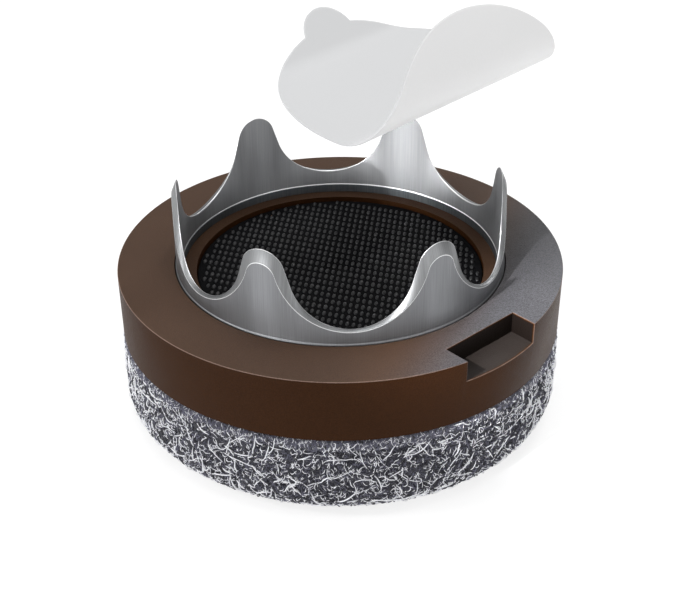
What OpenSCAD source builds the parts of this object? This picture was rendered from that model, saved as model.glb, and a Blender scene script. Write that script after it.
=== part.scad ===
// Press-in furniture slider: a felt pad under a plastic housing, with a toothed steel
// crown that bites into the end of a furniture leg, a self-stick grip pad inside the
// crown, and the pad's release liner peeled off and lifted clear.
// Millimetres, +Z up, origin on the floor at the middle of the felt.

/* [Felt] */
// Width of the felt pad, the size that the slider is sold by
felt_d = 25.4; // [22:0.1:38]
// Thickness of the felt pad
felt_t = 5.0; // [3:0.1:8]
// Rounding of the felt's lower edge, which the floor brushes under
felt_foot_r = 1.5; // [0.3:0.1:1.5]
// Rounding of the felt's upper edge
felt_edge_r = 0.3; // [0.1:0.05:0.6]
// Thickness of the glue film on the felt
felt_glue_t = 0.1; // [0.05:0.05:0.3]
// How far the glue film stops short of the housing's foot
felt_glue_inset = 0.4; // [0.1:0.1:1.5]

/* [Housing] */
// How far the felt stands out past the housing's foot
felt_lip = 0; // [0:0.05:0.5]
// Draft of the moulded side: how far it leans out from foot to top
housing_flare = 0.05; // [0.05:0.05:1]
// Height of the housing
housing_h = 3.7; // [3.4:0.1:8]
// Chamfer round the housing's top edge
housing_chamfer = 0.14; // [0.05:0.01:0.3]
// Width of the flat ring that the leg rests on, from the top edge to the crown's groove
seat_w = 3.23; // [2.2:0.01:4]

/* [Pry notch] */
// Width of the notch, for a screwdriver tip
notch_w = 5.2; // [3:0.1:8]
// Depth of the notch's floor below the flat top
notch_h = 1.25; // [0.6:0.05:2.5]
// Wall left between the notch and the crown's groove
notch_wall = 1.4; // [0.8:0.05:2]
// Direction of the notch, seen from above, from +X
notch_turn = -47.5; // [-180:0.5:180]

/* [Crown band] */
// Thickness of the steel strip
crown_wall = 0.3; // [0.25:0.01:0.5]
// How far the crown's band stands down in the housing's groove
crown_sink = 2.2; // [1.4:0.1:2.8]
// How much thicker the held band is on each side than the strip above it
band_step = 0.05; // [0.02:0.01:0.1]
// Height over the flat top of the step on the outside of the band
outer_step_rise = 0.04; // [0.02:0.01:0.2]
// Depth under the flat top of the step on the inside of the band
inner_step_drop = 0.08; // [0.05:0.01:0.4]
// Gap between the band and the wall of the groove outside it
groove_gap = 0.07; // [0.03:0.01:0.15]
// Gap between the band and the ledge inside it
ledge_gap = 0.02; // [0.01:0.01:0.1]

/* [Crown teeth] */
// Number of teeth
tooth_count = 6; // [4:1:8]
// Height of the tips over the valleys between the teeth
tooth_h = 4.3; // [3:0.05:6]
// Height of the valleys over the flat top
valley_lift = 0.85; // [0.4:0.05:2]
// Rounding of the tips
tip_r = 1.25; // [0.8:0.05:1.5]
// Steepness of the straight flanks, in degrees
flank_slope = 72; // [66:1:76]
// How far the bevel cuts the outside of a tip down
bevel_tip = 0.7; // [0.3:0.05:0.9]
// How far the bevel cuts the outside of a valley down
bevel_valley = 0.05; // [0.02:0.01:0.3]
// Rounding of the tips on the bevelled outside
bevel_tip_r = 0.8; // [0.4:0.05:1.2]
// Turn of the first tooth from +X, in degrees
tooth_turn = 3.9; // [-30:0.1:30]

/* [Grip pad] */
// Width of the ledge between the crown's groove and the pad's recess
ledge_w = 0.75; // [0.3:0.05:1.5]
// Thickness of the grip pad
pad_t = 1.0; // [0.5:0.05:1.2]
// Rounding of the grip pad's top edge
pad_edge_r = 0.1; // [0.05:0.01:0.3]
// How far the top of the grip pad lies under the flat top
pad_sink = 0.75; // [0.6:0.05:1.3]
// Thickness of the glue film under the grip pad
pad_glue_t = 0.1; // [0.05:0.05:0.2]
// How far that film stops short of the pad's edge
pad_glue_inset = 0.15; // [0.05:0.05:0.5]
// Gap between the grip pad and the wall of its recess
pad_gap = 0.05; // [0.02:0.01:0.15]
// How far the ledge round the pad lies under the flat top
ledge_sink = 0.6; // [0.3:0.05:0.95]

/* [Release liner] */
// How far the liner's round part stops short of the grip pad's edge
liner_inset = 0.2; // [0.1:0.1:2]
// Thickness of the liner
liner_t = 0.12; // [0.08:0.01:0.2]
// Width of the liner's pull tab
tab_d = 3.7; // [2.5:0.1:5]
// How far inside the edge of the round part the middle of the tab lies
tab_in = 0.7; // [0.3:0.05:1.2]
// How far inside the edge of the round part the tab starts to bend up
tab_root_in = 2.2; // [0.5:0.1:3]
// Bend radius of the tab
tab_bend_r = 1.5; // [1:0.05:4]
// How far the tab is bent up, in degrees
tab_bend = 42; // [10:1:70]
// Distance from the fold to the middle of the round part
fold_off = 0.95; // [0:0.05:3]
// Radius of the curl at the fold
curl_r = 2.35; // [1.5:0.05:3]
// How far round the tight curl goes, in degrees
curl_turn = 118; // [60:1:130]
// Radius of the gentler curl of the flap past it
flap_r = 6.8; // [5:0.1:30]
// Direction of the fold, seen from above, from +X
fold_turn = 46; // [0:1:90]
// Tilt of the liner towards the front, in degrees
liner_tilt = 2.9; // [0:0.1:15]
// Tilt of the liner to the right, in degrees
liner_lean = 3.4; // [0:0.1:15]
// Place of the fold's middle to the right of the axis
liner_x = 5.4; // [0:0.1:8]
// Height of the lifted liner over the tips of the teeth
liner_clear = 4.7; // [2:0.05:20]

/* [Hidden] */
$fn = 96;

// Heights of the stack over the floor
housing_z = felt_t + felt_glue_t;
seat_z = housing_z + housing_h;
band_z = seat_z - crown_sink;
ledge_z = seat_z - ledge_sink;
pad_z = seat_z - pad_sink - pad_t;
recess_z = pad_z - pad_glue_t;
valley_z = seat_z + valley_lift;
tip_z = valley_z + tooth_h;

// Radii from the felt's edge inwards: housing, groove, crown, ledge, recess, pad, liner
felt_r = felt_d / 2;
housing_foot_r = felt_r - felt_lip;
housing_top_r = housing_foot_r + housing_flare;
groove_r = housing_top_r - seat_w;
band_out_r = groove_r - groove_gap;
crown_r = band_out_r - band_step;
bore_r = crown_r - crown_wall;
band_in_r = bore_r - band_step;
ledge_r = band_in_r - ledge_gap;
recess_r = ledge_r - ledge_w;
pad_r = recess_r - pad_gap;
liner_r = pad_r - liner_inset;

// Half of the pitch of the teeth, as a length along the crown's bore
half_pitch = PI * bore_r / tooth_count;
// Columns of points round the crown
crown_columns = 40 * tooth_count;
// The steps in the band are as steep as this height over their own width
step_rise = band_step;

// Counts of the liner's grid, across the fold and along it
liner_rows = 36;
disc_columns = 9;
tab_columns = 10;
// The grid stops this many degrees short of the ends of the fold
disc_end = 4;
tab_r = tab_d / 2;
// Distances from the middle of the round part to the middle of the tab, and from the
// fold to the tab's bend
tab_out = liner_r - tab_in;
tab_root = fold_off + liner_r - tab_root_in;
// Half of the width where the tab leaves the round part
neck = sqrt(max(tab_r ^ 2 - ((liner_r ^ 2 - tab_r ^ 2 - tab_out ^ 2) / (2 * tab_out)) ^ 2, 0));
liner_z = tip_z + liner_clear;
degrees = 180 / PI;

// Radius of the round valley that runs tangent into flanks of the given slope and
// tips of the given height and rounding
function valley_r(high, tip) =
    (half_pitch * sin(flank_slope) - high * cos(flank_slope)) / (1 - cos(flank_slope)) - tip;

// Height over the valley at a distance from the middle of a tooth: round tip,
// straight flank, round valley
function tooth_outline(along, high, tip) =
    let(
        s = abs(along),
        bowl = valley_r(high, tip),
        tip_end = tip * sin(flank_slope),
        bowl_start = half_pitch - bowl * sin(flank_slope)
    )
    s <= tip_end ? high - tip + sqrt(tip ^ 2 - s ^ 2) :
    s >= bowl_start ? bowl - sqrt(bowl ^ 2 - (half_pitch - s) ^ 2) :
    high - tip * (1 - cos(flank_slope)) - (s - tip_end) * tan(flank_slope);

// Distance along the bore from a direction to the middle of the nearest tooth
function from_tooth(turn) =
    let(pitch = 360 / tooth_count, t = turn - tooth_turn)
    (t - pitch * round(t / pitch)) * bore_r / degrees;

// Section of the crown in one direction, as radius and height, outside edge first
function crown_section(turn) =
    let(
        s = from_tooth(turn),
        inner_rim = valley_z + tooth_outline(s, tooth_h, tip_r),
        outer_rim = valley_z - bevel_valley
            + tooth_outline(s, tooth_h - bevel_tip + bevel_valley, bevel_tip_r),
        outer_step = seat_z + outer_step_rise,
        inner_step = seat_z - inner_step_drop
    )
    [[band_out_r, band_z], [band_out_r, outer_step], [crown_r, outer_step + step_rise],
     [crown_r, outer_rim], [bore_r, inner_rim], [bore_r, inner_step],
     [band_in_r, inner_step - step_rise], [band_in_r, band_z]];

// Felt disc, its lower edge well rounded and its upper edge a little
module felt_pad() {
    color("#8f9094")
    rotate_extrude() {
        square([felt_r - felt_foot_r, felt_t]);
        translate([0, felt_foot_r]) {
            square([felt_r, felt_t - felt_foot_r - felt_edge_r]);
            square([felt_r - felt_edge_r, felt_t - felt_foot_r]);
        }
        translate([felt_r - felt_foot_r, felt_foot_r])
            circle(r = felt_foot_r);
        translate([felt_r - felt_edge_r, felt_t - felt_edge_r])
            circle(r = felt_edge_r);
    }
}

// Glue film between the felt and the housing
module felt_glue() {
    color("#c9c2b0")
    translate([0, 0, felt_t])
        cylinder(r = housing_foot_r - felt_glue_inset, h = felt_glue_t);
}

// Moulded body: half section turned about the axis, less the pry notch
module housing() {
    chamfer_r = housing_top_r - housing_chamfer * housing_flare / housing_h;
    color("#5b4236")
    difference() {
        rotate_extrude()
            polygon([
                [0, housing_z],
                [housing_foot_r, housing_z],
                [chamfer_r, seat_z - housing_chamfer],
                [chamfer_r - housing_chamfer, seat_z],
                [groove_r, seat_z],
                [groove_r, band_z],
                [ledge_r, band_z],
                [ledge_r, ledge_z],
                [recess_r, ledge_z],
                [recess_r, recess_z],
                [0, recess_z]
            ]);
        rotate([0, 0, notch_turn])
            translate([groove_r + notch_wall, -notch_w / 2, seat_z - notch_h])
                cube([seat_w, notch_w, 2 * notch_h]);
    }
}

// Steel ring: one section for each direction round the axis
module crown_ring() {
    sections = [for (i = [0 : crown_columns - 1]) crown_section(360 * i / crown_columns)];
    side = len(sections[0]);
    color("#b4b7ba")
    polyhedron(
        points = [
            for (i = [0 : crown_columns - 1], p = sections[i])
                let(turn = 360 * i / crown_columns)
                [p[0] * cos(turn), p[0] * sin(turn), p[1]]
        ],
        faces = [
            for (i = [0 : crown_columns - 1], k = [0 : side - 1])
                let(
                    here = i * side,
                    next = (i + 1) % crown_columns * side,
                    up = (k + 1) % side
                )
                each [[here + k, here + up, next + up], [here + k, next + up, next + k]]
        ]
    );
}

// Self-stick pad with its top edge rounded
module grip_pad() {
    color("#1d1d1f")
    translate([0, 0, pad_z])
        rotate_extrude() {
            square([pad_r - pad_edge_r, pad_t]);
            square([pad_r, pad_t - pad_edge_r]);
            translate([pad_r - pad_edge_r, pad_t - pad_edge_r])
                circle(r = pad_edge_r);
        }
}

// Glue film under the grip pad
module grip_glue() {
    color("#c9c2b0")
    translate([0, 0, recess_z])
        cylinder(r = pad_r - pad_glue_inset, h = pad_glue_t);
}

// Section of the bent liner at a distance across the fold: how far along, how far up,
// and the slope there. Flat behind the fold, curled up in front of it, tab bent up
function liner_section(q) =
    let(
        curl_len = curl_r * curl_turn / degrees,
        tab_len = tab_bend_r * tab_bend / degrees
    )
    q >= curl_len ?
        let(turn = curl_turn + (q - curl_len) / flap_r * degrees)
        [curl_r * sin(curl_turn) + flap_r * (sin(turn) - sin(curl_turn)),
         curl_r * (1 - cos(curl_turn)) + flap_r * (cos(curl_turn) - cos(turn)), turn] :
    q >= 0 ?
        let(turn = q / curl_r * degrees)
        [curl_r * sin(turn), curl_r * (1 - cos(turn)), turn] :
    q >= -tab_root ? [q, 0, 0] :
    q >= -tab_root - tab_len ?
        let(turn = (-q - tab_root) / tab_bend_r * degrees)
        [-tab_root - tab_bend_r * sin(turn), tab_bend_r * (1 - cos(turn)), -turn] :
        let(rest = -q - tab_root - tab_len)
        [-tab_root - tab_bend_r * sin(tab_bend) - rest * cos(tab_bend),
         tab_bend_r * (1 - cos(tab_bend)) + rest * sin(tab_bend), -tab_bend];

// Edges of the flat liner at a place along the fold: tab side, then flap side
function liner_back(p) =
    -fold_off - (abs(p) < neck ? tab_out + sqrt(tab_r ^ 2 - p ^ 2)
                               : sqrt(liner_r ^ 2 - p ^ 2));
function liner_front(p) = -fold_off + sqrt(liner_r ^ 2 - p ^ 2);

// Release film: a flat round shape with a tab, rolled about its fold
module release_liner() {
    neck_turn = asin(neck / tab_r);
    outer = [for (i = [0 : disc_columns])
        let(first = disc_end, last = acos(neck / liner_r))
        liner_r * cos(first + (last - first) * i / disc_columns)];
    columns = [
        for (i = [0 : disc_columns]) -outer[i],
        for (i = [1 : tab_columns - 1]) tab_r * sin(neck_turn * (2 * i / tab_columns - 1)),
        for (i = [disc_columns : -1 : 0]) outer[i]
    ];
    wide = len(columns);
    long = liner_rows + 1;
    function spot(i, j, lift) =
        let(
            p = columns[i],
            back = liner_back(p),
            s = liner_section(back + (liner_front(p) - back) * j / liner_rows)
        )
        [p, -s[0] + lift * sin(s[2]), s[1] + lift * cos(s[2])];
    function top(i, j) = i * long + j;
    function under(i, j) = (wide + i) * long + j;
    color("#e4e5e6")
    translate([liner_x, 0, liner_z])
        rotate([liner_tilt, 0, 0])
            rotate([0, liner_lean, 0])
                rotate([0, 0, fold_turn])
                    polyhedron(
                        points = [
                            for (lift = [liner_t / 2, -liner_t / 2], i = [0 : wide - 1],
                                 j = [0 : liner_rows])
                                spot(i, j, lift)
                        ],
                        faces = [
                            for (i = [0 : wide - 2], j = [0 : liner_rows - 1]) each [
                                [top(i, j), top(i + 1, j), top(i + 1, j + 1)],
                                [top(i, j), top(i + 1, j + 1), top(i, j + 1)],
                                [under(i, j), under(i + 1, j + 1), under(i + 1, j)],
                                [under(i, j), under(i, j + 1), under(i + 1, j + 1)]
                            ],
                            for (i = [0 : wide - 2]) each [
                                [top(i + 1, 0), top(i, 0), under(i, 0)],
                                [top(i + 1, 0), under(i, 0), under(i + 1, 0)],
                                [top(i, liner_rows), top(i + 1, liner_rows),
                                 under(i + 1, liner_rows)],
                                [top(i, liner_rows), under(i + 1, liner_rows),
                                 under(i, liner_rows)]
                            ],
                            for (j = [0 : liner_rows - 1]) each [
                                [top(0, j), top(0, j + 1), under(0, j + 1)],
                                [top(0, j), under(0, j + 1), under(0, j)],
                                [top(wide - 1, j + 1), top(wide - 1, j), under(wide - 1, j)],
                                [top(wide - 1, j + 1), under(wide - 1, j),
                                 under(wide - 1, j + 1)]
                            ]
                        ]
                    );
}

felt_pad();
felt_glue();
housing();
crown_ring();
grip_pad();
grip_glue();
release_liner();
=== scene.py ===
import math

import bmesh
import bpy
import numpy as np
from mathutils import Matrix, Quaternion, Vector, noise


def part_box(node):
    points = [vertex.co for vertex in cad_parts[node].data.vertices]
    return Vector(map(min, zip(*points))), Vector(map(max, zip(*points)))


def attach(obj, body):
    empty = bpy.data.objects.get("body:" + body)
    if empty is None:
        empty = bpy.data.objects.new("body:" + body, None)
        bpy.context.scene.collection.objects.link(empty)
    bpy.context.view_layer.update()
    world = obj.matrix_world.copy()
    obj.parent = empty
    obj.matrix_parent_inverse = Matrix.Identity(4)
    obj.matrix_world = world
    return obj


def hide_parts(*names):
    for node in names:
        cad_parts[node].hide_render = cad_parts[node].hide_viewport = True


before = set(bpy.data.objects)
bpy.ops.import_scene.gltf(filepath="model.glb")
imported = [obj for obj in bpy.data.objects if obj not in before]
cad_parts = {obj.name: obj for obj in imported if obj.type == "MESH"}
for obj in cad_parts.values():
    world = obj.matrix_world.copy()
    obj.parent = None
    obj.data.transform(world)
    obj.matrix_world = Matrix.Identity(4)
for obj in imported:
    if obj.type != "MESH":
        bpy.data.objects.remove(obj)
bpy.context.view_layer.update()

# The felt pad: a disc of pressed felt, die-cut from sheet and glued under the housing. Its dark
# body carries short curled fibres from near white to charcoal on the cut side and underside,
# longer bright strands over them, and a matted grey band along the top edge.
mm = 0.001
felt_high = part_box("felt_pad")[1]
felt_r = felt_high.x
felt_t = felt_high.z
felt_foot_r = 1.5 * mm
felt_edge_r = 0.3 * mm
felt_columns = 900
felt_rows = 72
body_depth = 0.07 * mm
lump_height = 0.1 * mm
lump_size = 0.3 * mm
foot_arc = felt_foot_r * math.pi / 2
edge_arc = felt_edge_r * math.pi / 2
felt_wall = felt_t - felt_foot_r - felt_edge_r
felt_way = foot_arc + felt_wall + edge_arc
matted_from = felt_t - 0.7 * mm
matted_to = felt_t - 0.4 * mm


def add_node(tree, kind, inputs=None, **settings):
    """A shader node. An input given as a socket is linked, and one given as a value is set."""
    made = tree.nodes.new(kind)
    for name, value in settings.items():
        setattr(made, name, value)
    for key, value in (inputs or {}).items():
        if isinstance(value, bpy.types.NodeSocket):
            tree.links.new(value, made.inputs[key])
        else:
            made.inputs[key].default_value = value
    return made


def maths(tree, operation, *values):
    """One step of arithmetic on numbers and sockets."""
    return add_node(tree, "ShaderNodeMath", dict(enumerate(values)), operation=operation).outputs[0]


def ramp(tree, value, low, high, **settings):
    """A mask that rises from 0 where the value is low to 1 where it is high."""
    ends = {"Value": value, "From Min": low, "From Max": high}
    return add_node(tree, "ShaderNodeMapRange", ends, **settings).outputs[0]


def between(tree, mask, low, high):
    """A mask from 0 to 1 taken to the range from low to high."""
    ends = {"Value": mask, "To Min": low, "To Max": high}
    return add_node(tree, "ShaderNodeMapRange", ends).outputs[0]


def mix_colours(tree, factor, first, second):
    """The colour between two, at a factor from 0 to 1."""
    made = add_node(tree, "ShaderNodeMix", data_type="RGBA")
    tree.links.new(factor, made.inputs["Factor"])
    for socket, colour in ((made.inputs[6], first), (made.inputs[7], second)):
        if isinstance(colour, bpy.types.NodeSocket):
            tree.links.new(colour, socket)
        else:
            socket.default_value = (*colour, 1)
    return made.outputs[2]


def new_group(name, inputs, outputs):
    """An empty node group with float inputs and outputs, its input node and its output node."""
    group = bpy.data.node_groups.new(name, "ShaderNodeTree")
    for label, value in inputs.items():
        socket = group.interface.new_socket(name=label, in_out="INPUT", socket_type="NodeSocketFloat")
        socket.default_value = value
    for label in outputs:
        group.interface.new_socket(name=label, in_out="OUTPUT", socket_type="NodeSocketFloat")
    return group, group.nodes.new("NodeGroupInput"), group.nodes.new("NodeGroupOutput")


def use_group(tree, group, **values):
    """The outputs of a group placed in a material, with its input values."""
    made = add_node(tree, "ShaderNodeGroup", node_tree=group)
    for name, value in values.items():
        made.inputs[name.replace("_", " ")].default_value = value
    return made.outputs


def make_mottle():
    """Node group: broad soft patches and fine even grain, both from 0 to 1, sizes in metres."""
    sizes = {"Patch size": 4 * mm, "Grain size": 0.06 * mm}
    group, given, out = new_group("mottle", sizes, ["Patches", "Grain"])
    place = add_node(group, "ShaderNodeTexCoord").outputs["Object"]
    for size, result, detail in (("Patch size", "Patches", 3), ("Grain size", "Grain", 2)):
        scale = maths(group, "DIVIDE", 1.0, given.outputs[size])
        cloud = add_node(group, "ShaderNodeTexNoise",
                         {"Vector": place, "Scale": scale, "Detail": detail, "Roughness": 0.6})
        group.links.new(ramp(group, cloud.outputs["Fac"], 0.32, 0.68), out.inputs[result])
    return group


def make_strands():
    """Node group: thin curling lines, 1 on a line and 0 between, as the level lines of a cloud."""
    group, given, out = new_group("strands", {"Size": 0.3 * mm, "Width": 0.05}, ["Lines"])
    place = add_node(group, "ShaderNodeTexCoord").outputs["Object"]
    scale = maths(group, "DIVIDE", 1.0, given.outputs["Size"])
    cloud = add_node(group, "ShaderNodeTexNoise",
                     {"Vector": place, "Scale": scale, "Detail": 1.0, "Distortion": 1.2})
    away = maths(group, "ABSOLUTE", maths(group, "SUBTRACT", cloud.outputs["Fac"], 0.5))
    ends = {"Value": away, "From Max": given.outputs["Width"], "To Min": 1.0, "To Max": 0.0}
    line = add_node(group, "ShaderNodeMapRange", ends, interpolation_type="SMOOTHSTEP")
    group.links.new(line.outputs[0], out.inputs["Lines"])
    return group


def new_material(name):
    """A material, its node tree and the surface shader in it."""
    material = bpy.data.materials.new(name)
    material.use_nodes = True
    tree = material.node_tree
    return material, tree, tree.nodes["Principled BSDF"]


def finish_surface(tree, surface, colour, roughness, relief, depth):
    """Gives a surface its colour and roughness, and relief of a depth in metres."""
    bump = add_node(tree, "ShaderNodeBump", {"Height": relief, "Distance": depth})
    tree.links.new(colour, surface.inputs["Base Color"])
    tree.links.new(roughness, surface.inputs["Roughness"])
    tree.links.new(bump.outputs[0], surface.inputs["Normal"])


def make_piece(name, points, faces, materials, slot_name, body="slider"):
    """A mesh of the object, riding on a body, with its materials. The slot name is not used."""
    mesh = bpy.data.meshes.new(name)
    mesh.from_pydata([tuple(p) for p in np.asarray(points, float)], [], [tuple(f) for f in faces])
    mesh.polygons.foreach_set("use_smooth", [True] * len(mesh.polygons))
    for material in materials:
        mesh.materials.append(material)
    piece = bpy.data.objects.new(name, mesh)
    bpy.context.scene.collection.objects.link(piece)
    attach(piece, body)
    return piece


def grid_faces(rows, columns, close_rows=False, close_columns=True):
    """Quads of a grid of points numbered row by row, with either direction closed on itself."""
    i, j = np.meshgrid(np.arange(rows if close_rows else rows - 1),
                       np.arange(columns if close_columns else columns - 1), indexing="ij")
    up = (i + 1) % rows
    right = (j + 1) % columns
    corners = [i * columns + j, i * columns + right, up * columns + right, up * columns + j]
    return np.stack(corners, -1).reshape(-1, 4)


def turned(profile, turns):
    """Points of a profile of radius and height, turned about +Z: one row for each profile point."""
    profile = np.asarray(profile, float)
    r = profile[:, 0][:, None]
    z = profile[:, 1][:, None]
    return np.stack([r * np.cos(turns), r * np.sin(turns), z + 0 * turns], -1).reshape(-1, 3)


def felt_side(way, out):
    """Radius and height of a spot at a way up the felt's side from its underside, and held out
    from it, with the outward direction there: round foot, upright wall, round upper edge."""
    foot = np.clip(way, 0, foot_arc) / felt_foot_r
    edge = np.clip(way - foot_arc - felt_wall, 0, edge_arc) / felt_edge_r
    rise = np.clip(way - foot_arc, 0, felt_wall)
    tilt = foot - math.pi / 2 + edge
    r = felt_r - felt_foot_r * (1 - np.sin(foot)) - felt_edge_r * (1 - np.cos(edge))
    z = felt_foot_r * (1 - np.cos(foot)) + rise + felt_edge_r * np.sin(edge)
    return r + out * np.cos(tilt), z + out * np.sin(tilt), tilt


def felt_body_points():
    """The felt's dark body: underside, side and top in rows, pushed in and out by small lumps."""
    turns = np.linspace(0, 2 * math.pi, felt_columns, endpoint=False)
    r, z, _ = felt_side(np.linspace(0, felt_way, felt_rows), -body_depth)
    flat = [0.0005, 0.25, 0.5, 0.75, 0.95]
    low = [(r[0] * share, z[0]) for share in flat]
    high = [(r[-1] * share, z[-1]) for share in reversed(flat)]
    points = turned(low + list(zip(r, z)) + high, turns)
    radius = np.hypot(points[:, 0], points[:, 1])
    lumps = np.array([noise.noise(Vector(p) / lump_size) for p in points])
    on_side = radius > r[0] * 0.96
    points[on_side, :2] *= (1 + lump_height * lumps / radius)[on_side, None]
    points[:, 2] = np.clip(points[:, 2], body_depth * 0.5, felt_t - 0.01 * mm)
    return points, grid_faces(len(points) // felt_columns, felt_columns)


def fibre_tubes(paths, outward, widths):
    """Three-sided tubes along many paths at once: paths and outward are fibres by points by 3."""
    count, steps, _ = paths.shape
    along = np.gradient(paths, axis=1)
    along /= np.linalg.norm(along, axis=2, keepdims=True) + 1e-12
    across = np.cross(along, outward)
    across /= np.linalg.norm(across, axis=2, keepdims=True) + 1e-12
    lift = np.cross(across, along)
    taper = np.sin(np.linspace(0.35, math.pi - 0.35, steps))[None, :, None] ** 0.6
    rings = []
    for angle in np.radians([90, 210, 330]):
        rings.append(paths + widths[:, None, None] / 2 * taper
                     * (math.cos(angle) * across + math.sin(angle) * lift))
    points = np.stack(rings, 2).reshape(-1, 3)
    points[:, 2] = np.clip(points[:, 2], 0, None)
    one = grid_faces(steps, 3)
    faces = (one[None] + (np.arange(count) * steps * 3)[:, None, None]).reshape(-1, 4)
    return points, faces


def on_felt(turn, way, out):
    """Spots on the felt's side and their outward directions, as points by 3."""
    r, z, tilt = felt_side(way, out)
    spot = np.stack([r * np.cos(turn), r * np.sin(turn), z], -1)
    outward = np.stack([np.cos(tilt) * np.cos(turn), np.cos(tilt) * np.sin(turn), np.sin(tilt)], -1)
    return spot, outward


def side_fibres(seed, count, length, width, proud, curl=0.15, steps=5, kink=0.16, upright=False):
    """Fibres that lie curled on the felt's cut side, their ends tucked into its body. The upright
    ones stand in a narrow band along its top edge."""
    rng = np.random.default_rng(seed)
    turn = rng.uniform(0, 2 * math.pi, count)
    way = rng.uniform(0.2 * mm, felt_way - edge_arc - 0.1 * mm, count)
    heading = rng.uniform(0, 2 * math.pi, count)
    if upright:
        way = felt_way - rng.uniform(0.2 * mm, 0.85 * mm, count)
        heading = rng.normal(math.pi / 2, 0.5, count)
    highest = felt_way if upright else felt_way - 0.6 * edge_arc
    bend = rng.normal(0, curl, count)
    step = length * rng.lognormal(0, 0.4, count) / (steps - 1)
    rise = proud * rng.uniform(0.1, 1, count)
    spots = []
    for k in range(steps):
        out = rise * math.sin(math.pi * k / (steps - 1)) - body_depth * 0.6
        way = np.clip(way, 0, highest)
        spots.append(on_felt(turn, way, out))
        heading = heading + bend + rng.normal(0, kink, count)
        turn = turn + step * np.cos(heading) / felt_r
        way = way + step * np.sin(heading)
    paths, outward = (np.stack(part, 1) for part in zip(*spots))
    return fibre_tubes(paths, outward, width * rng.uniform(0.7, 1.3, count))


def underside_fibres(seed, count, length, width, steps=5):
    """Fibres pressed flat into the felt's underside."""
    rng = np.random.default_rng(seed)
    reach = (felt_r - felt_foot_r - 0.3 * length) * np.sqrt(rng.uniform(0, 1, count))
    turn = rng.uniform(0, 2 * math.pi, count)
    x = reach * np.cos(turn)
    y = reach * np.sin(turn)
    heading = rng.uniform(0, 2 * math.pi, count)
    depth = rng.uniform(0.2, 1, count) * body_depth
    paths = []
    for k in range(steps):
        z = depth * (1 - 0.6 * math.sin(math.pi * k / (steps - 1))) + 0.03 * mm
        paths.append(np.stack([x, y, z], -1))
        heading = heading + rng.normal(0, 0.5, count)
        x = x + length / steps * np.cos(heading)
        y = y + length / steps * np.sin(heading)
    paths = np.stack(paths, 1)
    outward = np.zeros_like(paths) + [0, 0, -1.0]
    return fibre_tubes(paths, outward, width * rng.uniform(0.7, 1.3, count))


def loose_hairs(seed, count, length, width, steps=7):
    """Thin hairs that leave the felt's side and stand off in the air."""
    rng = np.random.default_rng(seed)
    turn = rng.uniform(0, 2 * math.pi, count)
    way = rng.uniform(0.3 * mm, felt_way - edge_arc, count)
    heading = rng.uniform(0, 2 * math.pi, count)
    step = length * rng.uniform(0.4, 1, count) / (steps - 1)
    reach = rng.uniform(0.2, 0.6, count) * step
    out = np.full(count, -body_depth)
    spots = []
    for k in range(steps):
        spots.append(on_felt(turn, way, out))
        heading = heading + rng.normal(0, 0.5, count)
        out = np.minimum(out + reach * math.cos(0.35 * k), 0.3 * mm)
        turn = turn + step * np.cos(heading) / felt_r
        way = np.clip(way + 0.7 * step * np.sin(heading), 0, felt_way)
    paths, outward = (np.stack(part, 1) for part in zip(*spots))
    return fibre_tubes(paths, outward, width * rng.uniform(0.6, 1.2, count))


def felt_material(name, dark, pale, line_share, top_tones=None, painted_glow=0.0):
    """Felt: a colour between two tones, broken by grain and by fine curling strands. The matted top
    edge may have two tones of its own, and pale fibres may get a painted glow."""
    material, tree, surface = new_material(name)
    cloud = use_group(tree, mottle, Patch_size=1.5 * mm, Grain_size=0.05 * mm)
    lines = use_group(tree, strands, Size=0.22 * mm, Width=0.07)
    tone = mix_colours(tree, cloud["Grain"], dark, pale)
    share = maths(tree, "MULTIPLY", lines["Lines"], line_share)
    colour = mix_colours(tree, share, tone, [min(1, 1.6 * c) for c in pale])
    if top_tones:
        spot = add_node(tree, "ShaderNodeTexCoord").outputs["Object"]
        height = add_node(tree, "ShaderNodeSeparateXYZ", {0: spot}).outputs[2]
        matted = mix_colours(tree, cloud["Grain"], *top_tones)
        colour = mix_colours(tree, ramp(tree, height, matted_from, matted_to), colour, matted)
    relief = maths(tree, "ADD", cloud["Grain"], lines["Lines"])
    roughness = between(tree, cloud["Patches"], 0.85, 1.0)
    finish_surface(tree, surface, colour, roughness, relief, 0.03 * mm)
    surface.inputs["Specular IOR Level"].default_value = 0.2
    surface.inputs["Sheen Weight"].default_value = 0.25
    surface.inputs["Emission Color"].default_value = (0.96, 0.97, 1, 1)
    surface.inputs["Emission Strength"].default_value = painted_glow
    return material


mottle = make_mottle()
strands = make_strands()
felt_dark = felt_material("felt_charcoal_body", (0.008, 0.008, 0.014), (0.03, 0.03, 0.045), 0.9,
                          top_tones=((0.03, 0.031, 0.033), (0.14, 0.142, 0.145)))
# The pale fibres get a painted glow, though they are no lamp.
fibre_pale = felt_material("felt_pale_fibre", (0.86, 0.865, 0.93), (0.97, 0.97, 1.0), 0.0,
                           painted_glow=0.2)
fibre_grey = felt_material("felt_grey_fibre", (0.08, 0.08, 0.115), (0.24, 0.24, 0.33), 0.0)
fibre_charcoal = felt_material("felt_charcoal_fibre", (0.01, 0.01, 0.016), (0.03, 0.03, 0.045), 0.0)

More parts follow.
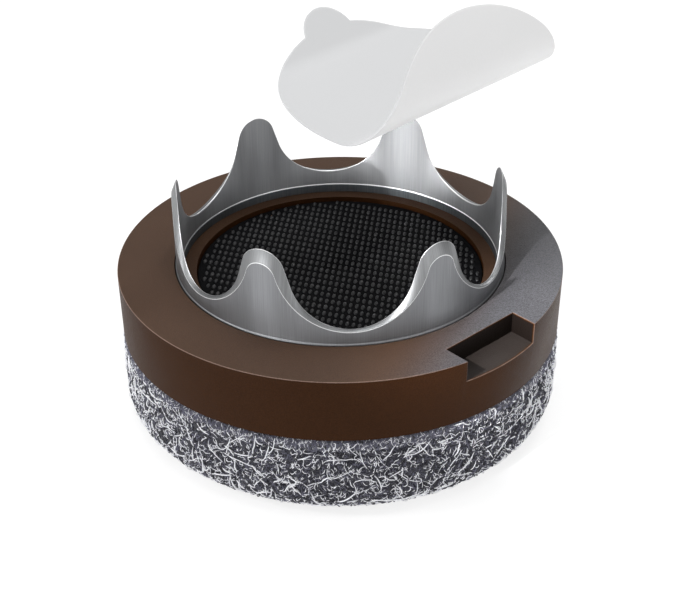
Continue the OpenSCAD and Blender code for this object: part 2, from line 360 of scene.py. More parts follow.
felt = make_piece("felt_body", *felt_body_points(), [felt_dark], "grey_felt")
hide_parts("felt_pad")
for name, made, material in (
    ("felt_fibres_pale",
     side_fibres(11, 7000, 0.28 * mm, 0.045 * mm, 0.1 * mm, curl=0.3), fibre_pale),
    ("felt_fibres_grey",
     side_fibres(12, 7500, 0.28 * mm, 0.05 * mm, 0.07 * mm, curl=0.3), fibre_grey),
    ("felt_fibres_charcoal",
     side_fibres(13, 3500, 0.4 * mm, 0.07 * mm, 0.09 * mm, curl=0.3), fibre_charcoal),
    ("felt_long_fibres",
     side_fibres(17, 700, 0.95 * mm, 0.075 * mm, 0.16 * mm, curl=0.08, steps=9, kink=0.22), fibre_pale),
    ("felt_edge_fibres",
     side_fibres(18, 6500, 0.34 * mm, 0.045 * mm, 0.05 * mm, upright=True), fibre_grey),
    ("felt_edge_hairs",
     side_fibres(19, 1500, 0.26 * mm, 0.035 * mm, 0.07 * mm, upright=True), fibre_pale),
    ("felt_underside_pale", underside_fibres(14, 3600, 0.9 * mm, 0.06 * mm), fibre_pale),
    ("felt_underside_grey", underside_fibres(15, 3000, 0.9 * mm, 0.06 * mm), fibre_grey),
    ("felt_loose_hairs", loose_hairs(16, 1400, 0.55 * mm, 0.022 * mm), fibre_grey),
):
    make_piece(name, *made, [material], "grey_felt")

# The glue films: thin clear hot-melt layers, one between felt and housing and one under the grip
# pad. Only their edges show, slightly milky and uneven.


def glue_material():
    """Clear glue: milky, a little yellow, with broad uneven patches in colour and gloss."""
    material, tree, surface = new_material("clear_glue_film")
    cloud = use_group(tree, mottle, Patch_size=2 * mm, Grain_size=0.1 * mm)
    colour = mix_colours(tree, cloud["Patches"], (0.32, 0.29, 0.23), (0.5, 0.47, 0.4))
    tree.links.new(colour, surface.inputs["Base Color"])
    tree.links.new(between(tree, cloud["Grain"], 0.25, 0.45), surface.inputs["Roughness"])
    return material


glue = glue_material()
for node_name in ("felt_glue", "grip_glue"):
    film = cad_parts[node_name]
    film.data.materials.clear()
    film.data.materials.append(glue)

# The housing: one moulding in brown plastic with a fine grain, with a speckled grey painted sheen
# on the right of its flat top. Its side has a slight draft, and the top has a groove for the steel
# crown, a low ledge, a recess for the grip pad, and a square notch at the rim for a screwdriver tip.
# The up-facing top is painted paler than the side as painted light, its rounded edges carry a painted
# highlight, and the ledge and the notch are painted darker as painted shade.
housing_low, housing_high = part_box("housing")
housing_z = housing_low.z
seat_z = housing_high.z
foot_r = 12.7 * mm
top_r = 12.75 * mm
groove_r = 9.52 * mm
groove_z = seat_z - 2.2 * mm
ledge_r = 9.03 * mm
ledge_z = seat_z - 0.6 * mm
recess_r = 8.28 * mm
recess_z = seat_z - 1.85 * mm
notch_turn = math.radians(-47.5)
notch_w = 5.2 * mm
notch_floor_z = seat_z - 1.25 * mm
notch_back_r = 10.92 * mm
edge_bevel = 0.06 * mm
bevel_angle = math.radians(35)
sharp_angle = math.radians(50)
tolerance = 0.01 * mm
# The right of the flat top is painted a speckled grey as painted sheen, fading in towards this
# direction.
sheen_turn = math.radians(-22)
painted_sheen_tone = (0.042, 0.0415, 0.046)
# Painted shade in the notch: a darker floor, and upright walls darker still.
notch_floor_shade = (0.018, 0.0145, 0.013)
notch_wall_shade = (0.006, 0.0042, 0.0035)
# Painted shade on the ledge: its colour is scaled by this factor.
ledge_painted_shade = 0.68


def housing_solid():
    """The turned body before the notch is cut. Its columns stay clear of the notch's two corners on
    the rim, so that the cut leaves no slivers there."""
    gap = math.radians(1.5)
    corner = math.asin(notch_w / 2 / top_r)
    inside = np.linspace(-corner + gap, corner - gap, 24)
    outside = np.linspace(corner + gap, 2 * math.pi - corner - gap, 420)
    turns = notch_turn + np.concatenate([inside, outside])
    profile = [
        (0.01 * mm, housing_z), (foot_r, housing_z), (top_r, seat_z), (groove_r, seat_z),
        (groove_r, groove_z), (ledge_r, groove_z), (ledge_r, ledge_z), (recess_r, ledge_z),
        (recess_r, recess_z), (0.01 * mm, recess_z),
    ]
    mesh = bmesh.new()
    spots = [mesh.verts.new(p) for p in turned(profile, turns)]
    for face in grid_faces(len(profile), len(turns), close_rows=True):
        mesh.faces.new([spots[k] for k in face])
    bmesh.ops.recalc_face_normals(mesh, faces=mesh.faces)
    body = bpy.data.meshes.new("housing")
    mesh.to_mesh(body)
    mesh.free()
    return body


def notch_block():
    """The block that the notch is cut with."""
    mesh = bmesh.new()
    bmesh.ops.create_cube(mesh, size=1)
    reach = 4 * mm
    tall = 3 * mm
    place = (Matrix.Rotation(notch_turn, 4, "Z")
             @ Matrix.Translation((notch_back_r + reach / 2, 0, notch_floor_z + tall / 2))
             @ Matrix.Diagonal((reach, notch_w, tall, 1)))
    bmesh.ops.transform(mesh, matrix=place, verts=mesh.verts)
    block = bpy.data.meshes.new("notch_block")
    mesh.to_mesh(block)
    mesh.free()
    return block


def bounds_notch(edge):
    """Whether an edge bounds the notch."""
    back = Matrix.Rotation(-notch_turn, 3, "Z")
    for corner in edge.verts:
        spot = back @ corner.co
        beyond = spot.x > notch_back_r - tolerance and abs(spot.y) < notch_w / 2 + tolerance
        if not (beyond and spot.z > notch_floor_z - tolerance):
            return False
    return True


def is_rim(edge):
    """Whether an edge runs round the outside of the flat top."""
    return all(corner.co.z > seat_z - tolerance and corner.co.xy.length > notch_back_r
               for corner in edge.verts)


def cut_and_round(body_mesh, block_mesh):
    """Cuts the notch, rounds the edges that a finger would feel, and keeps the other edges crisp."""
    body = bpy.data.objects.new("housing_shell", body_mesh)
    block = bpy.data.objects.new("notch_block", block_mesh)
    for made in (body, block):
        bpy.context.scene.collection.objects.link(made)
    cut = body.modifiers.new("notch", "BOOLEAN")
    cut.operation = "DIFFERENCE"
    cut.object = block
    cut.solver = "EXACT"
    evaluated = body.evaluated_get(bpy.context.evaluated_depsgraph_get())
    cut_mesh = bpy.data.meshes.new_from_object(evaluated)
    body.modifiers.clear()
    bpy.data.objects.remove(block)
    mesh = bmesh.new()
    mesh.from_mesh(cut_mesh)
    bmesh.ops.remove_doubles(mesh, verts=mesh.verts, dist=0.0005 * mm)
    worn_edges = [edge for edge in mesh.edges
                  if len(edge.link_faces) == 2 and edge.calc_face_angle() > bevel_angle
                  and edge.is_convex and (bounds_notch(edge) or is_rim(edge))]
    bmesh.ops.bevel(mesh, geom=worn_edges, offset=edge_bevel, offset_type="OFFSET",
                    segments=3, profile=0.5, affect="EDGES", material=1, clamp_overlap=True)
    for face in mesh.faces:
        face.smooth = True
    for edge in mesh.edges:
        edge.smooth = len(edge.link_faces) == 2 and edge.calc_face_angle() < sharp_angle
    mesh.to_mesh(cut_mesh)
    mesh.free()
    body.data = cut_mesh
    return body


def scaled(tree, colour, factor):
    """A colour made lighter or darker by a factor."""
    return add_node(tree, "ShaderNodeVectorMath", {0: colour, "Scale": factor},
                    operation="SCALE").outputs[0]


def make_housing_places():
    """Node group: masks of the housing's places. The painted sheen fades in over shares of the rim's
    radius, from the middle towards the right."""
    group, given, out = new_group("housing_places", {"Worn from": 0.45, "Worn to": 0.82},
                                  ["Seat", "Seat and ledge", "Notch", "Upright", "Worn"])
    spot = add_node(group, "ShaderNodeTexCoord").outputs
    facing = add_node(group, "ShaderNodeSeparateXYZ", {0: spot["Normal"]}).outputs[2]
    height = add_node(group, "ShaderNodeSeparateXYZ", {0: spot["Object"]}).outputs[2]
    upward = ramp(group, facing, 0.5, 0.9)
    at_seat = ramp(group, height, seat_z - 0.4 * mm, seat_z - 0.2 * mm)
    at_ledge = ramp(group, height, ledge_z - 0.15 * mm, ledge_z - 0.03 * mm)
    on_seat = maths(group, "MULTIPLY", upward, at_seat)
    level = add_node(group, "ShaderNodeVectorMath", {0: spot["Object"], 1: (1, 1, 0)},
                     operation="MULTIPLY").outputs["Vector"]
    radius = add_node(group, "ShaderNodeVectorMath", {0: level}, operation="LENGTH").outputs["Value"]
    in_wall = maths(group, "LESS_THAN", radius, foot_r - 0.06 * mm)
    past_back = maths(group, "GREATER_THAN", radius, notch_back_r - 0.1 * mm)
    below_seat = maths(group, "LESS_THAN", height, seat_z - 0.1 * mm)
    in_rim = maths(group, "MULTIPLY", in_wall, past_back)
    to_right = (math.cos(sheen_turn) / top_r, math.sin(sheen_turn) / top_r, 0)
    across = add_node(group, "ShaderNodeVectorMath", {0: spot["Object"], 1: to_right},
                      operation="DOT_PRODUCT").outputs["Value"]
    on_right = ramp(group, across, given.outputs["Worn from"], given.outputs["Worn to"],
                    interpolation_type="SMOOTHSTEP")
    for label, mask in (
        ("Seat", on_seat),
        ("Seat and ledge", maths(group, "MULTIPLY", upward, at_ledge)),
        ("Notch", maths(group, "MULTIPLY", in_rim, below_seat)),
        ("Upright", ramp(group, facing, 0.8, 0.2)),
        ("Worn", maths(group, "MULTIPLY", on_right, on_seat)),
    ):
        group.links.new(mask, out.inputs[label])
    return group


def plastic_material(name, top_tones, side_tones, rough, shine):
    """Moulded plastic: brown, painted paler where it faces up as painted light, with faint flow
    patches, a fine grain and a satin skin. The ledge and the notch are painted darker as painted shade,
    and the right of the flat top has a speckled grey painted sheen."""
    material, tree, surface = new_material(name)
    cloud = use_group(tree, mottle, Patch_size=5 * mm, Grain_size=0.07 * mm)
    place = use_group(tree, housing_places, Worn_from=0.45, Worn_to=0.82)
    patches = between(tree, cloud["Patches"], 0.2, 0.8)
    # Painted light: faces that look up take the paler top tones, and the others the darker side tones.
    tone = mix_colours(tree, place["Seat and ledge"], mix_colours(tree, patches, *side_tones),
                       mix_colours(tree, patches, *top_tones))
    # Painted shade: the ledge, down in the gap by the crown, is darkened; the grain varies the rest.
    on_ledge = maths(tree, "SUBTRACT", place["Seat and ledge"], place["Seat"])
    grain_and_ledge_shade = maths(tree, "MULTIPLY", between(tree, cloud["Grain"], 0.8, 1.17),
                  between(tree, on_ledge, 1.0, ledge_painted_shade))
    # Painted shade inside the notch, darkest on its upright walls.
    inside = mix_colours(tree, place["Upright"], notch_floor_shade, notch_wall_shade)
    colour = mix_colours(tree, place["Notch"], scaled(tree, tone, grain_and_ledge_shade), inside)
    # Painted sheen: a speckled grey over the right of the flat top.
    painted_sheen_speckle = scaled(tree, painted_sheen_tone, between(tree, cloud["Grain"], 0.4, 1.6))
    colour = mix_colours(tree, place["Worn"], colour, painted_sheen_speckle)
    gloss = maths(tree, "ADD", between(tree, cloud["Grain"], -0.06, 0.06),
                  between(tree, cloud["Patches"], rough - 0.03, rough + 0.03))
    finish_surface(tree, surface, colour, gloss, cloud["Grain"], 0.006 * mm)
    surface.inputs["Specular IOR Level"].default_value = shine
    return material


housing_places = make_housing_places()
# Top tones, then side tones: the up-facing top is painted paler than the side as painted light.
body_tones = (((0.054, 0.0285, 0.0165), (0.063, 0.034, 0.0205)),
              ((0.027, 0.0098, 0.003), (0.031, 0.0118, 0.0038)))
# Edge tones: a painted highlight along the rounded rim and notch edges, paler again where they face up.
edge_highlight_tones = (((0.22, 0.145, 0.115), (0.26, 0.175, 0.14)),
              ((0.085, 0.053, 0.04), (0.1, 0.065, 0.05)))
brown_side = plastic_material("brown_plastic_side", *body_tones, 0.46, 0.05)
brown_edge_highlight = plastic_material("brown_plastic_edge_highlight", *edge_highlight_tones, 0.35, 0.12)
brown_seat = plastic_material("brown_plastic_seat", *body_tones, 0.46, 0.2)
housing = cut_and_round(housing_solid(), notch_block())
for material in (brown_side, brown_edge_highlight, brown_seat):
    housing.data.materials.append(material)
for face in housing.data.polygons:
    if face.material_index == 0 and face.center.z > seat_z - tolerance:
        face.material_index = 2
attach(housing, "slider")
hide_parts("housing")

# The crown: a strip of satin steel rolled into a ring, with six teeth stamped in it and ground to
# a bevel from the outside. Its thicker band stands in the housing's groove; a small step shows
# outside just over the flat top, and another inside just under it. Its inside is painted lighter
# than its outside as painted light, its rims and the inner step carry a painted highlight, and the
# band under the inner step is painted darker as painted shade.
crown_r = 9.4 * mm
bore_r = 9.1 * mm
band_step = 0.05 * mm
band_z = groove_z
outer_step_z = seat_z + 0.04 * mm
inner_step_z = seat_z - 0.08 * mm
valley_z = seat_z + 0.85 * mm
tooth_count = 6
tooth_h = 4.3 * mm
tip_r = 1.25 * mm
flank_slope = math.radians(72)
bevel_tip = 0.7 * mm
bevel_valley = 0.05 * mm
bevel_tip_r = 0.8 * mm
tooth_turn = math.radians(3.9)
crown_columns = 1800
edge_round = 0.04 * mm
corner_shares = (1, 0.6, 0.6, 1, 1.6, 0.6, 0.6, 1)
half_pitch = math.pi * bore_r / tooth_count


def tooth_outline(along, high, tip):
    """Height over the valley at a distance from a tooth's middle: round tip, flank, round valley."""
    sine = math.sin(flank_slope)
    cosine = math.cos(flank_slope)
    bowl = (half_pitch * sine - high * cosine) / (1 - cosine) - tip
    s = np.abs(along)
    tip_end = tip * sine
    bowl_start = half_pitch - bowl * sine
    on_tip = high - tip + np.sqrt(np.clip(tip**2 - s**2, 0, None))
    on_bowl = bowl - np.sqrt(np.clip(bowl**2 - (half_pitch - s)**2, 0, None))
    on_flank = high - tip * (1 - cosine) - (s - tip_end) * math.tan(flank_slope)
    return np.where(s <= tip_end, on_tip, np.where(s >= bowl_start, on_bowl, on_flank))


def crown_sections(turns):
    """Section of the ring in each direction, its eight corners rounded: turns by points by 2."""
    pitch = 2 * math.pi / tooth_count
    t = turns - tooth_turn
    along = (t - pitch * np.round(t / pitch)) * bore_r
    inner_rim = valley_z + tooth_outline(along, tooth_h, tip_r)
    outer_rim = valley_z - bevel_valley + tooth_outline(
        along, tooth_h - bevel_tip + bevel_valley, bevel_tip_r)
    even = np.ones_like(turns)
    corners = np.stack([np.stack([even * r, even * z], -1) for r, z in (
        (crown_r + band_step, band_z), (crown_r + band_step, outer_step_z),
        (crown_r, outer_step_z + band_step), (crown_r, outer_rim), (bore_r, inner_rim),
        (bore_r, inner_step_z), (bore_r - band_step, inner_step_z - band_step),
        (bore_r - band_step, band_z),
    )], 1)
    rounding = edge_round * np.array(corner_shares)[None, :, None]
    to_last = np.roll(corners, 1, 1) - corners
    to_next = np.roll(corners, -1, 1) - corners
    to_last /= np.linalg.norm(to_last, axis=2, keepdims=True)
    to_next /= np.linalg.norm(to_next, axis=2, keepdims=True)
    rounded = [corners + rounding * to_last,
               corners + rounding * 0.3 * (to_last + to_next),
               corners + rounding * to_next]
    return np.stack(rounded, 2).reshape(len(turns), -1, 2)


def make_brushing():
    """Node group: fine upright scratches and slow light and dark bands, both from 0 to 1, with
    about the given count of each to a radian of the ring."""
    group, given, out = new_group("brushing", {"Scratch count": 260.0, "Band count": 9.0},
                                  ["Scratches", "Bands"])
    spot = add_node(group, "ShaderNodeTexCoord").outputs["Object"]
    place = add_node(group, "ShaderNodeSeparateXYZ", {0: spot}).outputs
    turn = maths(group, "ARCTAN2", place[1], place[0])
    for count, result, per_metre in (
        ("Scratch count", "Scratches", 200.0),
        ("Band count", "Bands", 60.0),
    ):
        unrolled = add_node(group, "ShaderNodeCombineXYZ",
                            {0: maths(group, "MULTIPLY", turn, given.outputs[count]),
                             1: maths(group, "MULTIPLY", place[2], per_metre)})
        lines = add_node(group, "ShaderNodeTexNoise",
                         {"Vector": unrolled.outputs[0], "Scale": 1.0, "Detail": 2.0,
                          "Roughness": 0.65})
        group.links.new(ramp(group, lines.outputs["Fac"], 0.3, 0.7), out.inputs[result])
    return group


def steel_material(name, dark, pale, rough, scratch_depth):
    """Steel: upright brushing in tone, gloss and relief, over slow bands and faint handling marks."""
    material, tree, surface = new_material(name)
    lines = use_group(tree, brushing, Scratch_count=260, Band_count=9)
    cloud = use_group(tree, mottle, Patch_size=1.8 * mm, Grain_size=0.05 * mm)
    tone = mix_colours(tree, lines["Scratches"], dark, pale)
    colour = scaled(tree, tone, between(tree, lines["Bands"], 0.9, 1.05))
    gloss = maths(tree, "ADD", between(tree, lines["Scratches"], rough + 0.07, rough - 0.04),
                  between(tree, cloud["Patches"], -0.03, 0.03))
    finish_surface(tree, surface, colour, gloss, lines["Scratches"], scratch_depth)
    surface.inputs["Metallic"].default_value = 1.0
    return material


brushing = make_brushing()
# The inside and outside are one steel, the inside painted lighter than the outside as painted light.
steel_out = steel_material("satin_steel_outside", (0.19, 0.195, 0.205), (0.24, 0.245, 0.255), 0.47,
                           0.0006 * mm)
steel_ground = steel_material("satin_steel_bevel", (0.2, 0.205, 0.21), (0.25, 0.255, 0.26), 0.46,
                              0.0004 * mm)
# Painted highlight: a bright steel for the rims and the inner step.
steel_edge_highlight = steel_material("satin_steel_edge_highlight", (0.72, 0.725, 0.73), (0.8, 0.805, 0.81), 0.4,
                            0.0002 * mm)
steel_in_painted_lighter = steel_material("satin_steel_inside", (0.31, 0.315, 0.325), (0.36, 0.365, 0.375), 0.5,
                          0.0006 * mm)
# Painted shade: a darker steel for the band below the inner step, down in the groove.
steel_band_shaded = steel_material("shaded_steel_band", (0.1, 0.11, 0.12), (0.14, 0.15, 0.16), 0.5,
                            0.0006 * mm)
crown_turns = np.linspace(0, 2 * math.pi, crown_columns, endpoint=False)
sections = crown_sections(crown_turns)
ring_points = np.stack([
    sections[:, :, 0] * np.cos(crown_turns)[:, None],
    sections[:, :, 0] * np.sin(crown_turns)[:, None],
    sections[:, :, 1],
], -1).reshape(-1, 3)
ring_faces = grid_faces(crown_columns, sections.shape[1], close_rows=True)
crown = make_piece("crown_ring_steel", ring_points, ring_faces[:, ::-1],
                   [steel_out, steel_ground, steel_edge_highlight, steel_in_painted_lighter, steel_band_shaded], "satin_steel")
# Faces in order: the outside, its rim, the bevel, the inner rim, the inside, the step under it, and
# the rest of the band. The rims and the step carry the painted highlight, and the rest of the band
# the painted shade.
face_finish = [0] * 9 + [2] + [1] * 2 + [2] * 2 + [3] + [2] * 3 + [4] * 6
ring_finish = np.tile(np.array(face_finish, np.int32), crown_columns)
crown.data.polygons.foreach_set("material_index", ring_finish)
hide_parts("crown_ring")

# The grip pad: a black self-stick pad of dense foam with a rubbery skin, embossed with small oblong
# pips in slanting rows. It lies in the housing's recess inside the crown.
pad_low, pad_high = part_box("grip_pad")
pad_r = pad_high.x
pad_z = pad_low.z
skin_edge_r = 0.1 * mm
pip_h = 0.1 * mm
pip_root = 0.01 * mm
skin_z = pad_high.z - pip_h
pip_w = 0.23 * mm
pip_l = 0.44 * mm
row_step = Vector((0.334 * mm, -0.118 * mm))
column_step = Vector((0.071 * mm, 0.633 * mm))


def pad_skin():
    """The pad's disc with a rounded top edge."""
    turns = np.linspace(0, 2 * math.pi, 360, endpoint=False)
    profile = [(0.005 * mm, pad_z), (pad_r, pad_z)]
    for bend in np.linspace(0, math.pi / 2, 6):
        profile.append((pad_r - skin_edge_r * (1 - math.cos(bend)),
                        skin_z - skin_edge_r * (1 - math.sin(bend))))
    profile += [(pad_r * share, skin_z) for share in (0.75, 0.5, 0.25, 0.0005)]
    return turned(profile, turns), grid_faces(len(profile), len(turns), close_rows=True)


def pip_field():
    """Oblong domes on the slanting rows, wherever one fits wholly on the pad."""
    rng = np.random.default_rng(21)
    lean = math.atan2(column_step.y, column_step.x)
    reach = int(2 * pad_r / row_step.length)
    ring = np.linspace(0, 2 * math.pi, 12, endpoint=False)
    rise = (0.0, 0.55, 0.88, 1.0)
    shrink = (1.0, 0.86, 0.55, 0.2)
    points = []
    faces = []
    for i in range(-reach, reach + 1):
        for j in range(-reach, reach + 1):
            middle = i * row_step + j * column_step
            if middle.length > pad_r - 0.6 * pip_l:
                continue
            size = rng.uniform(0.93, 1.07)
            start = len(points)
            for up, wide in zip(rise, shrink):
                along = pip_l / 2 * wide * size * np.cos(ring)
                across = pip_w / 2 * wide * size * np.sin(ring)
                points.extend(np.stack([
                    middle.x + along * math.cos(lean) - across * math.sin(lean),
                    middle.y + along * math.sin(lean) + across * math.cos(lean),
                    np.full_like(ring, skin_z - pip_root + (pip_h + pip_root) * up),
                ], -1))
            sides = grid_faces(len(rise), len(ring)) + start
            faces.extend(tuple(f) for f in sides)
            faces.append(tuple(range(len(points) - len(ring), len(points))))
    return np.array(points), faces


def grip_material(name, dark, pale, rough, shine):
    """Black rubbery skin: faint dust in the hollows, a fine grain, and a patchy satin gloss."""
    material, tree, surface = new_material(name)
    cloud = use_group(tree, mottle, Patch_size=2.5 * mm, Grain_size=0.04 * mm)
    colour = mix_colours(tree, cloud["Grain"], dark, pale)
    gloss = maths(tree, "ADD", between(tree, cloud["Grain"], -0.06, 0.06),
                  between(tree, cloud["Patches"], rough - 0.05, rough + 0.05))
    finish_surface(tree, surface, colour, gloss, cloud["Grain"], 0.008 * mm)
    surface.inputs["Specular IOR Level"].default_value = shine
    return material


# The hollows are painted darker than the pips, as painted shade between them.
grip_skin_shaded = grip_material("black_grip_hollow_shaded", (0.001, 0.001, 0.0015), (0.004, 0.004, 0.0045),
                          0.75, 0.05)
grip_top = grip_material("black_grip_pip", (0.003, 0.003, 0.0035), (0.011, 0.011, 0.012), 0.4, 0.4)
pad = make_piece("grip_pad_skin", *pad_skin(), [grip_skin_shaded], "black_grip")
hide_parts("grip_pad")
make_piece("grip_pad_pips", *pip_field(), [grip_top], "black_grip")

# The release liner: a round of silicone-coated film with a pull tab, grey on its coated face and
# whiter behind. It has been peeled off the grip pad, and has curled over where it was pulled.
liner_r = 8.03 * mm
liner_t = 0.12 * mm
tab_r = 1.85 * mm
tab_out = liner_r - 0.7 * mm
fold_off = 0.95 * mm
tab_root = fold_off + liner_r - 2.2 * mm
tab_bend_r = 1.5 * mm
tab_bend = math.radians(42)
curl_r = 2.35 * mm
curl_turn = math.radians(118)
flap_r = 6.8 * mm
liner_tilt = math.radians(2.9)
liner_lean = math.radians(3.4)
fold_turn = math.radians(46)
liner_place = (
    Matrix.Translation((5.4 * mm, 0, 18.65 * mm))
    @ Matrix.Rotation(liner_tilt, 4, "X")
    @ Matrix.Rotation(liner_lean, 4, "Y")
    @ Matrix.Rotation(fold_turn, 4, "Z")
)
liner_rows = 150
neck = math.sqrt(tab_r**2 - ((liner_r**2 - tab_r**2 - tab_out**2) / (2 * tab_out)) ** 2)


def liner_section(q):
    """Along, up and slope at distances across the fold: flat behind it, curled up in front."""
    curl_len = curl_r * curl_turn
    tab_len = tab_bend_r * tab_bend
    past = curl_turn + (q - curl_len) / flap_r
    flap = (curl_r * math.sin(curl_turn) + flap_r * (np.sin(past) - math.sin(curl_turn)),
            curl_r * (1 - math.cos(curl_turn)) + flap_r * (math.cos(curl_turn) - np.cos(past)), past)
    turn = q / curl_r
    curl = (curl_r * np.sin(turn), curl_r * (1 - np.cos(turn)), turn)
    flat = (q, 0 * q, 0 * q)
    bent = np.clip((-q - tab_root) / tab_bend_r, 0, tab_bend)
    rest = np.clip(-q - tab_root - tab_len, 0, None)
    tab = (-tab_root - tab_bend_r * np.sin(bent) - rest * math.cos(tab_bend),
           tab_bend_r * (1 - np.cos(bent)) + rest * math.sin(tab_bend), -bent)
    chosen = []
    for k in range(3):
        behind = np.where(q >= -tab_root, flat[k], tab[k])
        chosen.append(np.where(q >= curl_len, flap[k], np.where(q >= 0, curl[k], behind)))
    return chosen


def liner_mesh():
    """Points and faces of the curled film: its coated face, its back, and the edge that joins them.
    The count of the faces on the coated face comes last."""
    first = math.radians(1.2)
    last = math.acos(neck / liner_r)
    outer = liner_r * np.cos(np.linspace(first, last, 40))
    middle = tab_r * np.sin(math.asin(neck / tab_r) * np.linspace(-1, 1, 33))
    p = np.concatenate([-outer, middle[1:-1], outer[::-1]])
    half = np.sqrt(liner_r**2 - p**2)
    on_tab = np.abs(p) < neck
    back = -fold_off - np.where(on_tab, tab_out + np.sqrt(np.clip(tab_r**2 - p**2, 0, None)), half)
    front = -fold_off + half
    share = np.linspace(0, 1, liner_rows)
    q = back[:, None] + (front - back)[:, None] * share[None]
    along, up, slope = liner_section(q)
    wide = p[:, None] + 0 * q
    sheets = []
    for lift in (liner_t / 2, -liner_t / 2):
        local = np.stack([wide, -along + lift * np.sin(slope), up + lift * np.cos(slope)], -1)
        sheets.append(local.reshape(-1, 3))
    count = len(p)
    top = grid_faces(count, liner_rows, close_columns=False)
    under = top[:, ::-1] + count * liner_rows
    rim = np.concatenate([
        np.arange(count) * liner_rows,
        (count - 1) * liner_rows + np.arange(1, liner_rows),
        np.arange(count - 2, -1, -1) * liner_rows + liner_rows - 1,
        np.arange(liner_rows - 2, 0, -1),
    ])
    following = np.roll(rim, -1)
    edge = np.stack([rim, following, following + count * liner_rows, rim + count * liner_rows], -1)
    place = np.array(liner_place)
    points = np.concatenate(sheets) @ place[:3, :3].T + place[:3, 3]
    return points, np.concatenate([top, under, edge]), len(top)


def film_material(name, dark, pale, rough):
    """Release film: nearly even tone with faint streaks of coating, a soft gloss, and a painted glow
    that evens out its shading."""
    material, tree, surface = new_material(name)
    cloud = use_group(tree, mottle, Patch_size=6 * mm, Grain_size=0.15 * mm)
    tone = mix_colours(tree, cloud["Patches"], dark, pale)
    colour = scaled(tree, tone, between(tree, cloud["Grain"], 0.985, 1.01))
    roughness = between(tree, cloud["Patches"], rough - 0.04, rough + 0.04)
    finish_surface(tree, surface, colour, roughness, cloud["Grain"], 0.001 * mm)
    surface.inputs["Specular IOR Level"].default_value = 0.35
    # Painted glow that evens out the film's shading.
    surface.inputs["Emission Color"].default_value = (0.985, 0.99, 1, 1)
    surface.inputs["Emission Strength"].default_value = 0.48
    return material


film_coated = film_material("release_film_coated", (0.148, 0.15, 0.153), (0.152, 0.154, 0.157), 0.55)
film_back = film_material("release_film_back", (0.235, 0.232, 0.23), (0.245, 0.242, 0.24), 0.6)
points, faces, coated_count = liner_mesh()
liner = make_piece("release_liner_film", points, faces, [film_coated, film_back], "release_film",
                   "liner")
on_back = (np.arange(len(faces)) // coated_count == 1).astype(np.int32)
liner.data.polygons.foreach_set("material_index", on_back)
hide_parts("release_liner")

# The floor: a plain white table top, lit a little from within for the camera alone, so that it
# reads as clean white and keeps the slider's shadow.
floor_half = 1.5
floor_glow = 0.78


def floor_material():
    """White paper with a faint tooth, which the camera sees darker and lit by the glow."""
    material, tree, surface = new_material("white_floor")
    cloud = use_group(tree, mottle, Patch_size=40 * mm, Grain_size=0.3 * mm)
    by_camera = add_node(tree, "ShaderNodeLightPath").outputs["Is Camera Ray"]
    washed = mix_colours(tree, cloud["Grain"], (0.25, 0.25, 0.25), (0.27, 0.27, 0.27))
    colour = mix_colours(tree, by_camera, (0.93, 0.93, 0.93), washed)
    tree.links.new(colour, surface.inputs["Base Color"])
    surface.inputs["Roughness"].default_value = 0.9
    surface.inputs["Specular IOR Level"].default_value = 0.1
    surface.inputs["Emission Color"].default_value = (1, 1, 1, 1)
    tree.links.new(maths(tree, "MULTIPLY", by_camera, floor_glow), surface.inputs["Emission Strength"])
    return material


floor_corners = [(-floor_half, -floor_half, 0), (floor_half, -floor_half, 0),
                 (floor_half, floor_half, 0), (-floor_half, floor_half, 0)]
floor_mesh = bpy.data.meshes.new("floor")
floor_mesh.from_pydata(floor_corners, [], [(0, 1, 2, 3)])
floor_mesh.materials.append(floor_material())
floor = bpy.data.objects.new("floor", floor_mesh)
bpy.context.scene.collection.objects.link(floor)

# The light: five soft lamps round the slider, two narrow ones on the painted sheen at the right of the
# flat top and on a back tooth, and a white room that glossy pieces mirror brighter towards its front
# left.
narrow_far = 0.25
bright_side = math.radians(238)
room_light = 0.62
mirrored_dim = 0.15
mirrored_bright = 1.15
backdrop_light = 1.0


def add_lamp(name, place, aim, wide, tall, power):
    """A rectangular lamp at a place, aimed at a point."""
    data = bpy.data.lights.new(name, "AREA")
    data.shape = "RECTANGLE"
    data.size = wide
    data.size_y = tall
    data.energy = power
    lamp = bpy.data.objects.new(name, data)
    lamp.location = place
    lamp.rotation_euler = (Vector(aim) - Vector(place)).to_track_quat("-Z", "Y").to_euler()
    bpy.context.scene.collection.objects.link(lamp)


def add_narrow_lamp(name, aim, turn, tilt, wide, power):
    """A narrow spot on one part of the slider, from far off in a direction given in degrees."""
    data = bpy.data.lights.new(name, "SPOT")
    data.energy = power
    data.spot_size = math.radians(wide)
    data.spot_blend = 0.3
    data.shadow_soft_size = 0.004
    lamp = bpy.data.objects.new(name, data)
    turn = math.radians(turn)
    tilt = math.radians(tilt)
    away = Vector((math.cos(tilt) * math.cos(turn), math.cos(tilt) * math.sin(turn), math.sin(tilt)))
    lamp.location = Vector(aim) + narrow_far * away
    lamp.rotation_euler = (-away).to_track_quat("-Z", "Y").to_euler()
    bpy.context.scene.collection.objects.link(lamp)


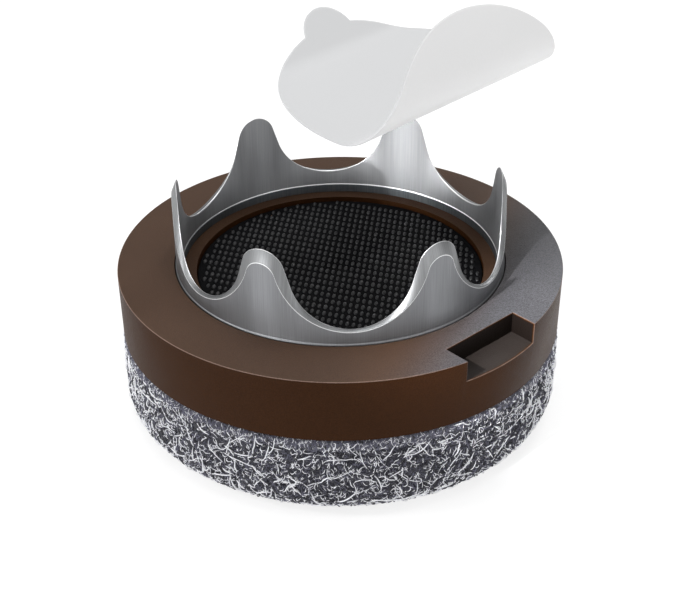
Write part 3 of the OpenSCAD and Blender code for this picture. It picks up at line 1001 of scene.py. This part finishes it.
add_lamp("key_lamp", (-0.17, -0.03, 0.14), (0, 0, 0.01), 0.03, 0.03, 0.13)
add_lamp("side_lamp", (-0.16, -0.18, 0.035), (0, 0, 0.012), 0.07, 0.04, 0.19)
add_lamp("front_lamp", (0.17, -0.14, 0.05), (0, 0, 0.009), 0.07, 0.04, 0.045)
add_lamp("sheen_lamp", (0.11, 0.2, 0.14), (0.006, 0, 0.009), 0.06, 0.06, 0.125)
add_lamp("top_lamp", (0, 0.02, 0.25), (0, 0, 0.009), 0.14, 0.14, 0.3)
add_narrow_lamp("seat_lamp", (0.0128, -0.0068, seat_z), 225, 38, 3.2, 10.5)
add_narrow_lamp("tooth_lamp", (0.0046, 0.0082, 0.0112), 221, 14, 1.6, 3.3)

room = bpy.data.worlds.new("white_room")
room.use_nodes = True
bpy.context.scene.world = room
walls = room.node_tree
sky = walls.nodes["Background"]
ray = add_node(walls, "ShaderNodeLightPath").outputs
direction = add_node(walls, "ShaderNodeTexCoord").outputs["Generated"]
to_bright = (math.cos(bright_side), math.sin(bright_side), 0)
side = add_node(walls, "ShaderNodeVectorMath", {0: direction, 1: to_bright},
                operation="DOT_PRODUCT").outputs["Value"]
mirrored = add_node(walls, "ShaderNodeMapRange",
                    {"Value": side, "From Min": -1.0, "To Min": mirrored_dim,
                     "To Max": mirrored_bright}).outputs[0]
lit = add_node(walls, "ShaderNodeMix",
               {"Factor": ray["Is Glossy Ray"], 2: room_light, 3: mirrored}).outputs[0]
level = add_node(walls, "ShaderNodeMix",
                 {"Factor": ray["Is Camera Ray"], 2: lit, 3: backdrop_light}).outputs[0]
sky.inputs["Color"].default_value = (1, 1, 1, 1)
walls.links.new(level, sky.inputs["Strength"])

# The camera: where the photograph was taken from, some 84 mm away, looking down at 32 degrees and
# turned a little about its own axis.
camera_el = math.radians(31.864)
camera_roll = math.radians(-0.4)
camera_far = 83.7 * mm
camera_aim = Vector((-0.049 * mm, 0, 5.934 * mm))
camera_lens = 75.53
look = Vector((0, math.cos(camera_el), -math.sin(camera_el)))
camera_data = bpy.data.cameras.new("camera")
camera_data.sensor_width = 36
camera_data.lens = camera_lens
camera_data.clip_start = 0.005
camera = bpy.data.objects.new("camera", camera_data)
camera.location = camera_aim - camera_far * look
turn_to_aim = look.to_track_quat("-Z", "Y") @ Quaternion((0, 0, 1), camera_roll)
camera.rotation_euler = turn_to_aim.to_euler()
bpy.context.scene.collection.objects.link(camera)
bpy.context.scene.camera = camera

bpy.context.scene.view_settings.view_transform = "Standard"
